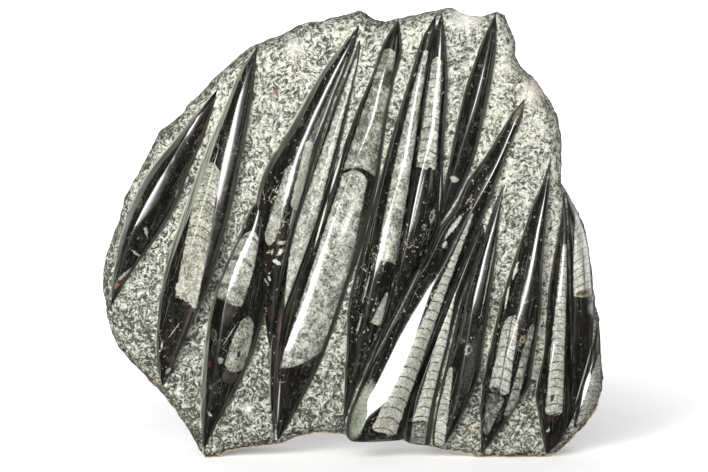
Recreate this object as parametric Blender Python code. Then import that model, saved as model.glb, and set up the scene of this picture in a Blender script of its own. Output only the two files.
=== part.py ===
# Orthoceras plate: one block of black limestone with a sawn back and a level base. Its front is
# pecked back to a rough ground, out of which sixteen polished spindles stand, one over each fossil
# shell. The block, its ground and its spindles are one stone, so the model is one solid.
#
# The face is drawn on a sheet in millimetres: "across" runs from left to right and "up" is the
# height over the floor. A depth is counted backwards from the foot of the face.

import math

import bmesh
import bpy
from mathutils import Vector

MM = 0.001

# The block
SHEET_MIDDLE = 255.0       # across, halfway between the outermost points of the outline
DEPTH_MIDDLE = 24.55       # halfway between the proudest crest and the back of the base
PLATE_HEIGHT = 449.0
BASE_DEPTH = 72.0          # front to back along the floor
TOP_DEPTH = 36.0           # front to back at the top edge
FACE_LEAN = 20.0           # the face lies back this far between the floor and the top edge
BACK_CHAMFER = 6.0
OUTLINE_CENTRE = (255.0, 225.0)

# The face falls back to a broken rim all round, and rolls back towards its right end.
RIM_DROP = 12.0
RIM_WIDTH = 15.0
RIM_STEPS = (5.0, 11.0, 19.0)
ROLL_START = 425.0
ROLL_LENGTH = 82.0
ROLL_DEPTH = 26.0
ROLL_CUTS = (425.0, 450.0, 475.0)

# The spindles
SEGMENTS_ROUND = 16
SEGMENTS_ALONG = 18
PLUMPNESS = 0.42           # height of a crest for each millimetre of width
CREST_POWER = 1.4          # 1 is a sharp gable, 2 a round arch
FLANK_STEP = 0.16          # share of the height that the steep flank along each edge takes
EDGE_SINK = 4.0            # the edges start this far under the ground
KEEL_SINK = 9.0            # and the buried side goes down this much further

STONE_COLOUR = (0.045, 0.042, 0.036, 1.0)
STONE_ROUGHNESS = 0.3

# Outline of the block, clockwise from the left foot. Both feet are level, and the base is
# arched between them.
OUTLINE = [
    (104, 0), (117, 0), (126, 6), (140, 8.5), (158, 11), (172, 12), (184, 15), (194, 20), (207, 23),
    (222, 25), (240, 24), (256, 21), (280, 20), (294, 18.5), (308, 17), (320, 15), (332, 10), (346, 7),
    (364, 4), (380, 0), (450, 0), (462, 5), (470, 12), (479, 20), (490, 30), (500, 45), (505, 56),
    (507, 75), (505, 97), (502, 120), (502, 136), (497, 155), (495, 172), (492, 200), (487, 226),
    (479, 246), (468, 264), (461, 276), (461, 300), (461, 322), (456, 343), (449, 358), (440, 371),
    (432, 381), (419, 392), (414, 402), (414, 416), (409, 429), (403, 443), (396, 446), (382, 441),
    (366, 442), (352, 449), (340, 448), (322, 444), (304, 440), (285, 436), (275, 438), (266, 444),
    (258, 447), (247, 443), (232, 440), (221, 436), (209, 436), (198, 432), (184, 424), (168, 418),
    (150, 410), (138, 400), (124, 388), (111, 376), (99, 362), (89, 354), (84, 346), (71, 335),
    (59, 326), (55, 316), (48, 303), (40, 288), (33, 276), (25, 262), (21, 244), (13, 222), (6, 202),
    (3, 184), (3, 165), (6, 145), (11, 126), (18, 112), (32, 96), (50, 76), (62, 64), (70, 54),
    (82, 38), (92, 21), (98, 8),
]

# Each spindle has its upper tip, its foot and the points that its two edges run through on the
# way down. "crest" is where the crest stands between the left edge, 0, and the right edge, 1. A
# blunt one is cut off square where it meets the base.
SPINDLES = {
    "far_left": {
        "top": (120, 372), "foot": (11, 154), "crest": 0.45,
        "left": [(80, 326), (50, 290), (32, 255), (21, 222), (14, 185)],
        "right": [(115, 350), (105, 320), (90, 285), (78, 255), (62, 228), (40, 198), (22, 170)],
    },
    "left_long": {
        "top": (159, 414), "foot": (62, 71), "crest": 0.5,
        "left": [(142, 390), (126, 354), (107, 312), (88, 262), (71, 212), (60, 165), (56, 120), (58, 92)],
        "right": [(157, 385), (151, 340), (143, 300), (135, 260), (124, 220), (111, 178), (92, 135),
                  (76, 100)],
    },
    "lower_left": {
        "top": (163, 268), "foot": (103, 9), "crest": 0.34,
        "left": [(150, 251), (138, 223), (120, 182), (109, 145), (104, 110), (101, 80), (100, 45)],
        "right": [(167, 235), (168, 200), (167, 160), (160, 125), (149, 95), (134, 64), (116, 33)],
    },
    "upper_left": {
        "top": (261, 438), "foot": (170, 110), "crest": 0.5,
        "left": [(240, 412), (220, 386), (200, 352), (180, 317), (162, 286), (154, 245), (156, 200),
                 (162, 150)],
        "right": [(254, 408), (237, 366), (220, 315), (206, 268), (195, 232), (185, 190), (177, 145)],
    },
    "left_of_centre": {
        "top": (261, 425), "foot": (174, 18), "crest": 0.5,
        "left": [(252, 402), (236, 362), (218, 310), (203, 262), (192, 228), (180, 180), (171, 130),
                 (169, 90), (170, 50)],
        "right": [(259, 400), (253, 370), (246, 342), (238, 312), (228, 280), (218, 248), (205, 215),
                  (193, 180), (184, 150), (179, 115), (177, 70)],
    },
    "centre_giant": {
        "top": (298, 441), "foot": (177, 17), "crest": 0.42,
        "left": [(283, 418), (271, 385), (256, 350), (245, 320), (233, 288), (222, 255), (208, 215),
                 (195, 180), (184, 145), (177, 110), (174, 70)],
        "right": [(302, 410), (295, 380), (288, 350), (281, 315), (274, 280), (266, 245), (258, 210),
                  (249, 180), (238, 142), (226, 108), (212, 78), (196, 48)],
    },
    "right_of_centre": {
        "top": (336, 446), "foot": (243, 33), "crest": 0.5,
        "left": [(321, 423), (312, 392), (302, 360), (296, 330), (288, 295), (280, 260), (270, 225),
                 (260, 190), (250, 160), (246, 120), (244, 80)],
        "right": [(330, 415), (325, 385), (319, 350), (315, 318), (311, 290), (306, 255), (300, 222),
                  (293, 190), (283, 155), (270, 115), (254, 70)],
    },
    "top_middle": {
        "top": (341, 447), "foot": (285, 125), "crest": 0.45,
        "left": [(332, 415), (326, 385), (320, 350), (316, 318), (312, 290), (306, 255), (300, 222),
                 (293, 185)],
        "right": [(346, 405), (347, 370), (345, 335), (342, 300), (340, 265), (333, 225), (318, 185),
                  (300, 150)],
    },
    "top_right": {
        "top": (394, 446), "foot": (340, 255), "crest": 0.38,
        "left": [(381, 422), (372, 398), (364, 375), (358, 352), (353, 328), (348, 302), (343, 277)],
        "right": [(395, 415), (392, 385), (387, 357), (381, 330), (375, 305), (365, 285), (352, 266)],
    },
    "slim_ringed": {
        "top": (381, 238), "foot": (318, 13), "crest": 0.5, "blunt": True,
        "left": [(372, 218), (360, 188), (349, 160), (339, 134), (328, 104), (316, 72), (306, 45),
                 (304, 18)],
        "right": [(384, 225), (374, 195), (363, 168), (355, 140), (348, 110), (341, 80), (336, 50),
                  (331, 13)],
    },
    "crossing": {
        "top": (423, 363), "foot": (275, 19), "crest": 0.5, "blunt": True,
        "left": [(408, 345), (395, 322), (384, 302), (370, 280), (355, 255), (342, 232), (330, 204),
                 (315, 183), (300, 162), (285, 133), (270, 100), (256, 68), (247, 42), (246, 22)],
        "right": [(421, 345), (416, 330), (408, 312), (400, 288), (388, 255), (374, 222), (362, 192),
                  (350, 162), (341, 138), (331, 110), (320, 80), (310, 55), (303, 19)],
    },
    "slate": {
        "top": (403, 280), "foot": (340, 10), "crest": 0.42,
        "left": [(392, 255), (381, 220), (370, 190), (360, 160), (352, 125), (346, 100), (340, 72),
                 (334, 42), (332, 16)],
        "right": [(400, 260), (398, 235), (396, 210), (393, 185), (390, 160), (387, 135), (383, 110),
                  (379, 85), (370, 60), (356, 32)],
    },
    "right_long": {
        "top": (449, 305), "foot": (381, 4), "crest": 0.5,
        "left": [(440, 278), (430, 255), (421, 228), (412, 202), (404, 175), (397, 150), (390, 120),
                 (384, 90), (380, 60), (380, 30)],
        "right": [(449, 280), (447, 255), (445, 230), (443, 205), (442, 180), (441, 150), (437, 120),
                  (434, 98), (430, 75), (420, 58), (407, 38), (394, 20)],
    },
    "right_ringed": {
        "top": (463, 270), "foot": (447, 4), "crest": 0.45,
        "left": [(460, 250), (456, 225), (451, 198), (447, 170), (445, 140), (443, 110), (438, 85),
                 (435, 65), (438, 45), (442, 22)],
        "right": [(466, 245), (467, 220), (469, 180), (471, 140), (472, 100), (473, 60), (468, 30),
                  (458, 13)],
    },
    "right_edge": {
        "top": (466, 267), "foot": (456, 12), "crest": 0.5,
        "left": [(467, 245), (468, 220), (470, 180), (471, 140), (472, 100), (471, 60), (464, 32)],
        "right": [(477, 248), (486, 225), (491, 200), (494, 170), (496, 142), (494, 110), (487, 78),
                  (478, 50), (468, 28)],
    },
    "corner": {
        "top": (502, 136), "foot": (474, 30), "crest": 0.5,
        "left": [(497, 122), (489, 95), (481, 65), (476, 44)],
        "right": [(504, 115), (505, 90), (504, 68), (499, 50), (488, 37)],
    },
}


def smooth_chain(points, steps=6):
    """Points along a Catmull-Rom curve through the given ones."""
    ends = [Vector(point) for point in [points[0]] + points + [points[-1]]]
    chain = []
    for before, start, end, after in zip(ends, ends[1:], ends[2:], ends[3:]):
        for step in range(steps):
            t = step / steps
            chain.append(0.5 * (2 * start + (end - before) * t
                                + (2 * before - 5 * start + 4 * end - after) * t ** 2
                                + (3 * start - before - 3 * end + after) * t ** 3))
    chain.append(Vector(points[-1]))
    return chain


def point_along(chain, share):
    """The point at a share of the chain's own length."""
    lengths = [(b - a).length for a, b in zip(chain, chain[1:])]
    left = share * sum(lengths)
    for a, b, length in zip(chain, chain[1:], lengths):
        if left <= length:
            return a.lerp(b, left / max(length, 1e-9))
        left -= length
    return chain[-1].copy()


def rim_distance(across, up):
    """How far a point of the sheet is from the outline."""
    point = Vector((across, up))
    nearest = math.inf
    for a, b in zip(OUTLINE, OUTLINE[1:] + OUTLINE[:1]):
        start = Vector(a)
        edge = Vector(b) - start
        share = max(0.0, min(1.0, (point - start).dot(edge) / edge.length_squared))
        nearest = min(nearest, (start + edge * share - point).length)
    return nearest


def ground_depth(across, up):
    """How far back the pecked ground lies: the lean, the rim and the roll at the right end."""
    lean = FACE_LEAN * up / PLATE_HEIGHT
    rim = RIM_DROP * max(0.0, 1.0 - rim_distance(across, up) / RIM_WIDTH) ** 2
    roll = ROLL_DEPTH * max(0.0, (across - ROLL_START) / ROLL_LENGTH) ** 2
    return lean + rim + roll


def back_depth(up):
    """How far back the sawn back lies at a height."""
    return BASE_DEPTH + (FACE_LEAN + TOP_DEPTH - BASE_DEPTH) * up / PLATE_HEIGHT


def place(across, up, depth):
    """From the sheet to the model's own frame."""
    return Vector(((across - SHEET_MIDDLE) * MM, (depth - DEPTH_MIDDLE) * MM, up * MM))


def sheet_position(vertex):
    """From the model's own frame to the sheet: across and up."""
    return vertex.co.x / MM + SHEET_MIDDLE, vertex.co.z / MM


def pull_in(vertices, distance):
    """Move the points of a ring towards the middle of the plate."""
    centre = Vector(OUTLINE_CENTRE)
    for vertex in vertices:
        spot = Vector(sheet_position(vertex))
        spot += (centre - spot).normalized() * distance
        vertex.co = place(spot.x, spot.y, 0.0)


def new_object(name, mesh, collection):
    data = bpy.data.meshes.new(name)
    mesh.to_mesh(data)
    mesh.free()
    thing = bpy.data.objects.new(name, data)
    collection.objects.link(thing)
    return thing


def make_block(collection):
    """The block: face, broken rim, sides and sawn back."""
    mesh = bmesh.new()
    ring = [mesh.verts.new(place(across, up, 0.0)) for across, up in OUTLINE]
    front = mesh.faces.new(ring)

    # The sides run straight back, and the last few millimetres are chamfered.
    sides = bmesh.ops.extrude_face_region(mesh, geom=[front], use_keep_orig=True)
    back_ring = [part for part in sides["geom"] if isinstance(part, bmesh.types.BMVert)]
    back_face = next(part for part in sides["geom"] if isinstance(part, bmesh.types.BMFace))
    bmesh.ops.inset_individual(mesh, faces=[back_face], thickness=0.0)
    chamfer_ring = list(back_face.verts)
    pull_in(chamfer_ring, BACK_CHAMFER)

    # The face steps in from the rim in three rings, and is cut into strips where it rolls back.
    inset = 0.0
    for step in RIM_STEPS:
        bmesh.ops.inset_individual(mesh, faces=[front], thickness=0.0)
        pull_in(list(front.verts), step - inset)
        inset = step
    face_parts = [front] + list(front.edges) + list(front.verts)
    for cut in ROLL_CUTS:
        cut_parts = bmesh.ops.bisect_plane(mesh, geom=face_parts, plane_co=place(cut, 0, 0),
                                           plane_no=(1, 0, 0))
        face_parts = cut_parts["geom"]

    behind = set(back_ring) | set(chamfer_ring)
    for vertex in mesh.verts:
        if vertex not in behind:
            across, up = sheet_position(vertex)
            vertex.co = place(across, up, ground_depth(across, up))
    for vertex in back_ring:
        across, up = sheet_position(vertex)
        vertex.co = place(across, up, back_depth(up) - BACK_CHAMFER)
    for vertex in chamfer_ring:
        across, up = sheet_position(vertex)
        vertex.co = place(across, up, back_depth(up))
    bmesh.ops.triangulate(mesh, faces=mesh.faces[:])
    bmesh.ops.recalc_face_normals(mesh, faces=mesh.faces[:])
    return new_object("orthoceras_plate", mesh, collection)


def make_spindle(name, spindle, collection):
    """One polished spindle: a sphere pulled out between its two edges, half of it buried."""
    foot = [] if spindle.get("blunt") else [spindle["foot"]]
    left = smooth_chain([spindle["top"]] + spindle["left"] + foot)
    right = smooth_chain([spindle["top"]] + spindle["right"] + foot)
    crest = spindle["crest"]
    mesh = bmesh.new()
    bmesh.ops.create_uvsphere(mesh, u_segments=SEGMENTS_ROUND, v_segments=SEGMENTS_ALONG, radius=1.0)
    for vertex in mesh.verts:
        x, y, z = vertex.co
        share = (1.0 - z) / 2.0
        radius = math.hypot(x, y)
        cosine = x / radius if radius > 1e-6 else 0.0
        sine = y / radius if radius > 1e-6 else 0.0
        edge_left = point_along(left, share)
        edge_right = point_along(right, share)
        width = (edge_right - edge_left).length
        over = (1.0 + cosine) / 2.0
        spot = edge_left.lerp(edge_right, over)
        if sine > 1e-4:
            beside = (over - crest) / (crest if over < crest else 1.0 - crest)
            arch = FLANK_STEP + (1.0 - FLANK_STEP) * (1.0 - abs(beside) ** CREST_POWER)
            height = PLUMPNESS * width * arch
        else:
            height = -EDGE_SINK + KEEL_SINK * sine
        if share == 1.0:
            spot = Vector(spindle["foot"])
        vertex.co = place(spot.x, spot.y, ground_depth(spot.x, spot.y) - height)
    bmesh.ops.recalc_face_normals(mesh, faces=mesh.faces[:])
    thing = new_object(name, mesh, collection)
    thing.hide_render = True
    thing.display_type = "WIRE"
    return thing


def make_stone():
    stone = bpy.data.materials.new("black_limestone")
    stone.use_nodes = True
    shader = stone.node_tree.nodes["Principled BSDF"]
    shader.inputs["Base Color"].default_value = STONE_COLOUR
    shader.inputs["Roughness"].default_value = STONE_ROUGHNESS
    shader.inputs["Metallic"].default_value = 0.0
    return stone


def main():
    for thing in list(bpy.data.objects):
        bpy.data.objects.remove(thing, do_unlink=True)
    parts = bpy.data.collections.new("orthoceras_fossil")
    joined = bpy.data.collections.new("spindles")
    bpy.context.scene.collection.children.link(parts)
    bpy.context.scene.collection.children.link(joined)
    plate = make_block(parts)
    for name, spindle in SPINDLES.items():
        make_spindle(name, spindle, joined)
    union = plate.modifiers.new("join_spindles", "BOOLEAN")
    union.operation = "UNION"
    union.solver = "EXACT"
    union.operand_type = "COLLECTION"
    union.collection = joined
    plate.data.materials.append(make_stone())


main()
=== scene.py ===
# A plate of black limestone with straight fossil shells: a sawn block whose front is pecked back to
# a rough ground, and polished spindles that stand out of the ground over the shells.
# The face is drawn on a sheet in millimetres: across, up from the floor, and a depth that counts
# backwards from the foot of the face.
import math

import bmesh
import bpy
import numpy as np
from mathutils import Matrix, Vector, noise


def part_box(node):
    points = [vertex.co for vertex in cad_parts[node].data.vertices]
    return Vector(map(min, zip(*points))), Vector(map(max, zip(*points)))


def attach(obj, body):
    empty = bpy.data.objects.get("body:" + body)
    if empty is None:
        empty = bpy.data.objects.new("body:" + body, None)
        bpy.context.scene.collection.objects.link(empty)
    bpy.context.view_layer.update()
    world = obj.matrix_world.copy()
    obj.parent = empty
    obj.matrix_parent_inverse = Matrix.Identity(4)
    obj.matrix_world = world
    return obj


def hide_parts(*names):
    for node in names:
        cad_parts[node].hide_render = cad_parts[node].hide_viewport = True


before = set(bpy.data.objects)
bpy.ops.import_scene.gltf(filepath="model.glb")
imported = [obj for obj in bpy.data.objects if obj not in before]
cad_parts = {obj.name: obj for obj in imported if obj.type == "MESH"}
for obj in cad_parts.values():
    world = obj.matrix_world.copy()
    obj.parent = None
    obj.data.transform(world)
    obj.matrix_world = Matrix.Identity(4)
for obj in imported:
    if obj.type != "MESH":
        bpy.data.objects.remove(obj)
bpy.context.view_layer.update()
mm = 0.001

# The plate, as the solid has it.
plate = dict(
    height=449.0, left=3.0, baseDepth=72.0, topDepth=36.0, lean=20.0, backChamfer=6.0, centre=(255.0, 225.0),
    rimDrop=12.0, rimWidth=15.0, rollStart=425.0, rollLength=82.0, rollDepth=26.0,
    outline=[
        (104, 0), (117, 0), (126, 6), (140, 8.5), (158, 11), (172, 12), (184, 15), (194, 20), (207, 23),
        (222, 25), (240, 24), (256, 21), (280, 20), (294, 18.5), (308, 17), (320, 15), (332, 10),
        (346, 7), (364, 4), (380, 0), (450, 0), (462, 5), (470, 12), (479, 20), (490, 30), (500, 45),
        (505, 56), (507, 75), (505, 97), (502, 120), (502, 136), (497, 155), (495, 172), (492, 200),
        (487, 226), (479, 246), (468, 264), (461, 276), (461, 300), (461, 322), (456, 343), (449, 358),
        (440, 371), (432, 381), (419, 392), (414, 402), (414, 416), (409, 429), (403, 443), (396, 446),
        (382, 441), (366, 442), (352, 449), (340, 448), (322, 444), (304, 440), (285, 436), (275, 438),
        (266, 444), (258, 447), (247, 443), (232, 440), (221, 436), (209, 436), (198, 432), (184, 424),
        (168, 418), (150, 410), (138, 400), (124, 388), (111, 376), (99, 362), (89, 354), (84, 346),
        (71, 335), (59, 326), (55, 316), (48, 303), (40, 288), (33, 276), (25, 262), (21, 244),
        (13, 222), (6, 202), (3, 184), (3, 165), (6, 145), (11, 126), (18, 112), (32, 96), (50, 76),
        (62, 64), (70, 54), (82, 38), (92, 21), (98, 8)])

# Where the sheet lies in the frame: the outline begins at the solid's left side, and the foot of the
# face is so many millimetres in front of the middle.
solidLow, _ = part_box("orthoceras_plate")
sheetX = solidLow.x / mm - plate["left"]
sheetY = -24.55
print("sheet lies at", round(sheetX, 2), round(sheetY, 2))


def nearestOutline(spots):
    # How far each spot is from the outline, and the nearest place on it.
    nearest, found = np.full(len(spots), 1e9), spots.copy()
    corners = np.array(plate["outline"], dtype=float)
    for start, end in zip(corners, np.roll(corners, -1, axis=0)):
        edge = end - start
        share = np.clip(((spots - start) @ edge) / (edge @ edge), 0.0, 1.0)
        there = start + share[:, None] * edge
        gap = np.hypot(*(there - spots).T)
        closer = gap < nearest
        nearest[closer], found[closer] = gap[closer], there[closer]
    return nearest, found


def rimDistance(across, up):
    return nearestOutline(np.stack([across, up], axis=1))[0]


def insideLoop(corners, across, up):
    crossings = np.zeros(len(across), dtype=int)
    for (x0, y0), (x1, y1) in zip(corners, np.roll(corners, -1, axis=0)):
        if y0 != y1:
            between = (up >= min(y0, y1)) & (up < max(y0, y1))
            crossings += between & (across < x0 + (up - y0) * (x1 - x0) / (y1 - y0))
    return crossings % 2 == 1


def groundDepth(across, up):
    lean = plate["lean"] * up / plate["height"]
    rim = plate["rimDrop"] * np.maximum(0.0, 1.0 - rimDistance(across, up) / plate["rimWidth"]) ** 2
    roll = plate["rollDepth"] * np.maximum(0.0, (across - plate["rollStart"]) / plate["rollLength"]) ** 2
    return lean + rim + roll


def backDepth(up):
    slope = plate["lean"] + plate["topDepth"] - plate["baseDepth"]
    return plate["baseDepth"] + slope * up / plate["height"]


def toFrame(across, up, depth):
    return np.stack([(across + sheetX) * mm, (depth + sheetY) * mm, up * mm], axis=1)


def smoothChain(points, steps=10):
    ends = np.array([points[0]] + list(points) + [points[-1]], dtype=float)
    shares = np.arange(steps)[:, None] / steps
    chain = []
    for before, start, end, after in zip(ends, ends[1:], ends[2:], ends[3:]):
        chain.append(0.5 * (2 * start + (end - before) * shares
                            + (2 * before - 5 * start + 4 * end - after) * shares ** 2
                            + (3 * start - before - 3 * end + after) * shares ** 3))
    chain.append(ends[-1:])
    return np.concatenate(chain)


def alongChain(chain, share):
    steps = np.hypot(*np.diff(chain, axis=0).T)
    length = np.concatenate([[0.0], np.cumsum(steps)])
    return np.stack([np.interp(share * length[-1], length, chain[:, i]) for i in (0, 1)], axis=1)


def noiseAt(points, seed=0.0):
    return np.array([noise.noise(Vector((x, y, z + seed))) for x, y, z in points])


def finishMesh(name, mesh, materials):
    data = bpy.data.meshes.new(name)
    mesh.to_mesh(data)
    mesh.free()
    for material in materials:
        data.materials.append(material)
    thing = bpy.data.objects.new(name, data)
    bpy.context.scene.collection.objects.link(thing)
    return thing


def finishPiece(name, mesh, materials):
    thing = finishMesh(name, mesh, materials)
    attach(thing, "root")
    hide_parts("orthoceras_plate")
    return thing


# A value that runs through a shader. Sums and products of signals become math nodes.
class Signal:
    def __init__(self, socket):
        self.socket = socket

    def __add__(self, other):
        return calc("ADD", self, other)

    def __sub__(self, other):
        return calc("SUBTRACT", self, other)

    def __rsub__(self, other):
        return calc("SUBTRACT", other, self)

    def __mul__(self, other):
        return calc("MULTIPLY", self, other)

    def __truediv__(self, other):
        return calc("DIVIDE", self, other)

    def __abs__(self):
        return calc("ABSOLUTE", self)

    __radd__, __rmul__ = __add__, __mul__


def feed(socket, value):
    if isinstance(value, Signal):
        socket.id_data.links.new(value.socket, socket)
    else:
        socket.default_value = value


def addNode(kind, sockets=(), output=0, tree=None, **settings):
    # A node and the signal it gives. Its tree is that of a signal it takes, unless it is given.
    sockets = dict(sockets)
    tree = tree or next(value.socket.id_data for value in sockets.values() if isinstance(value, Signal))
    made = tree.nodes.new(kind)
    for name, value in settings.items():
        setattr(made, name, value)
    for name, value in sockets.items():
        feed(made.inputs[name], value)
    return Signal(made.outputs[output])


def calc(operation, *values, clamp=False):
    return addNode("ShaderNodeMath", enumerate(values), operation=operation, use_clamp=clamp)


def ramp(value, low, high, start=0.0, end=1.0):
    sockets = {"Value": value, "From Min": low, "From Max": high, "To Min": start, "To Max": end}
    return addNode("ShaderNodeMapRange", sockets, interpolation_type="SMOOTHSTEP")


def mixColour(share, low, high, how="MIX"):
    return addNode("ShaderNodeMix", {0: share, 6: low, 7: high}, 2, data_type="RGBA", blend_type=how)


def grain(where, scale, detail=3.0, rough=0.6):
    sockets = {"Vector": where, "Scale": scale, "Detail": detail, "Roughness": rough}
    return addNode("ShaderNodeTexNoise", sockets)


def turned(where, location=(0, 0, 0), rotation=(0, 0, 0), scale=(1, 1, 1), how="POINT"):
    sockets = {"Vector": where, "Location": location, "Rotation": rotation, "Scale": scale}
    return addNode("ShaderNodeMapping", sockets, vector_type=how)


def parts(vector):
    return [Signal(socket) for socket in addNode("ShaderNodeSeparateXYZ", {0: vector}).socket.node.outputs]


def inPlace(tree):
    return addNode("ShaderNodeTexCoord", output="Object", tree=tree)


def attribute(tree, name):
    return addNode("ShaderNodeAttribute", output="Fac", tree=tree, attribute_name=name)


def newMaterial(name):
    material = bpy.data.materials.new(name)
    material.use_nodes = True
    return material, material.node_tree, material.node_tree.nodes["Principled BSDF"].inputs


def newGroup(name, inputs, outputs):
    # "inputs" and "outputs" name the sockets of each kind.
    tree = bpy.data.node_groups.new(name, "ShaderNodeTree")
    for side, kinds in dict(INPUT=inputs, OUTPUT=outputs).items():
        for kind, names in kinds.items():
            for label in names.split():
                tree.interface.new_socket(name=label, in_out=side, socket_type="NodeSocket" + kind)
    given = {socket.name: Signal(socket) for socket in tree.nodes.new("NodeGroupInput").outputs if socket.name}
    return given, tree, tree.nodes.new("NodeGroupOutput").inputs


def finishSurface(inputs, colour, roughness, relief, strength, distance):
    feed(inputs["Base Color"], colour)
    feed(inputs["Roughness"], roughness)
    bump = {"Height": relief, "Strength": strength, "Distance": distance}
    feed(inputs["Normal"], addNode("ShaderNodeBump", bump))


def edgeChain(facts, side):
    foot = [] if "blunt" in facts else [facts["foot"]]
    return smoothChain([facts["top"]] + facts[side] + foot)


def localSpace(where, start, end):
    # Millimetres along the axis from start to end: X to the left across it and Z down it.
    run = Vector(end) - Vector(start)
    spot = toFrame(np.array([start[0]]), np.array([start[1]]), np.array([0.0]))[0]
    turn = (0, math.atan2(run.x, run.y), 0)
    return turned(where, (spot[0], 0.0, spot[2]), turn, (mm, mm, mm), "TEXTURE"), run.length


def addGroup(where, group, facts):
    facts = dict(facts)
    facts["where"], facts["length"] = localSpace(where, facts.pop("start"), facts.pop("end"))
    return addNode("ShaderNodeGroup", facts, node_tree=group)


def addShell(where, below, facts):
    mask = addGroup(where, shellGroup, facts)
    return mixColour(mask, below, Signal(mask.socket.node.outputs["colour"]))


def addFleck(where, below, facts):
    facts = dict(facts)
    tint, strength = facts.pop("tint"), facts.pop("strength")
    return mixColour(addGroup(where, fleckGroup, facts) * strength, below, tint)


# The colours of the stone and of what lies in it, and a white for painted highlight lines.
paleShell = (0.43, 0.435, 0.375, 1.0)
dimShell = (0.33, 0.335, 0.285, 1.0)
greyShell = (0.2, 0.2, 0.17, 1.0)
oliveShell = (0.36, 0.36, 0.29, 1.0)
pinkShell = (0.36, 0.24, 0.19, 1.0)
whiteShell = (0.6, 0.61, 0.54, 1.0)
# A white for highlights painted as thin lines on the spindles.
paintedHighlightWhite = (0.55, 0.56, 0.5, 1.0)
blackStone = (0.004, 0.004, 0.0035, 1.0)
brownStone = (0.02, 0.011, 0.007, 1.0)
rustStone = (0.07, 0.028, 0.014, 1.0)
ochreStone = (0.22, 0.145, 0.065, 1.0)
tanEdge = (0.62, 0.52, 0.36, 1.0)


# One shell cut open by the polish. It lies along its own axis in millimetres: X across it and Z
# down from its narrow end. The walls between its chambers are thin dark arches.
def makeShellGroup():
    given, tree, out = newGroup("cutShell", dict(
        Vector="where", Color="pale shade",
        Float="length head tail swell headCap tailCap slant ragged bend walls fade tilt tube mottle"),
        dict(Float="mask", Color="colour"))
    where, length, walls, fade = (given[name] for name in ("where", "length", "walls", "fade"))
    across, _, down = parts(where)
    share = calc("DIVIDE", down, length, clamp=True)
    middle = share * 2.0 - 1.0
    bow = 1.0 - middle * middle
    half = ((given["tail"] - given["head"]) * share + given["head"] + bow * given["swell"]) * 0.5
    side = across - bow * given["bend"]
    over = side / half
    overSquare = over * over
    rough = grain(where, 0.22, 4.0, 0.7) - 0.5
    fine = grain(where, 0.42, 3.0, 0.75)
    second = grain(turned(where, (37.0, 11.0, 5.0)), 0.3, 3.0, 0.7)
    broad = grain(where, 0.09, 4.0, 0.7)

    # Inside is where the sides, the narrow end and the wide end are all still some way off.
    sides = half - abs(side) + rough * 3.0
    headEnd = down - overSquare * given["headCap"]
    tailEnd = length - down - overSquare * given["tailCap"] - over * given["slant"] + rough * given["ragged"]
    inside = calc("MINIMUM", sides, calc("MINIMUM", headEnd, tailEnd))
    feed(out["mask"], ramp(inside, -0.5, 0.5))

    # The chamber walls are arches that stand closer towards the narrow end, and they are broken.
    lifted = (over * given["tilt"] + down - overSquare * half * 0.38 + rough * 2.4) / length
    phase = calc("POWER", calc("MAXIMUM", lifted, 0.0), 0.75) * walls
    wall = ramp(abs(calc("FRACT", phase) - 0.5), 0.03, 0.13, 1.0, 0.0) * ramp(second, 0.36, 0.58, 0.15, 0.95)
    wall = wall * calc("MINIMUM", walls, 1.0) * ramp(share, fade, fade + 0.25, 1.0, 0.2)
    tube = ramp(abs(over), 0.05, 0.14, 1.0, 0.0) * given["tube"]
    rind = ramp(inside, 0.2, 1.5, 0.8, 0.0) * ramp(second, 0.4, 0.6)

    colour = mixColour(ramp(broad, 0.38, 0.62) * given["mottle"], given["pale"], given["shade"])
    colour = mixColour(ramp(second, 0.5, 0.7, 0.0, 0.35), colour, (0.68, 0.68, 0.61, 1.0))
    specks = ramp(fine, 0.46, 0.58) * ramp(broad, 0.35, 0.6, 0.3, 1.0) * given["mottle"]
    colour = mixColour(specks, colour, (0.06, 0.062, 0.045, 1.0))
    dark = calc("MAXIMUM", calc("MAXIMUM", wall, tube), rind)
    feed(out["colour"], mixColour(dark, colour, (0.03, 0.028, 0.022, 1.0)))
    return tree


# A grain, a fragment or a stain of a few millimetres: an oval along its own axis with a rough edge.
def makeFleckGroup():
    needs = dict(Vector="where", Float="length width wobble soft")
    given, tree, out = newGroup("fleck", needs, dict(Float="mask"))
    across, _, down = parts(given["where"])
    along = down / given["length"] * 2.0 - 1.0
    beside = across * 2.0 / given["width"]
    rough = grain(given["where"], 0.5, 4.0, 0.7) - 0.5
    reach = calc("SQRT", along * along + beside * beside) + rough * given["wobble"]
    feed(out["mask"], ramp(reach, 1.0 - given["soft"], 1.0, 1.0, 0.0))
    return tree


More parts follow.
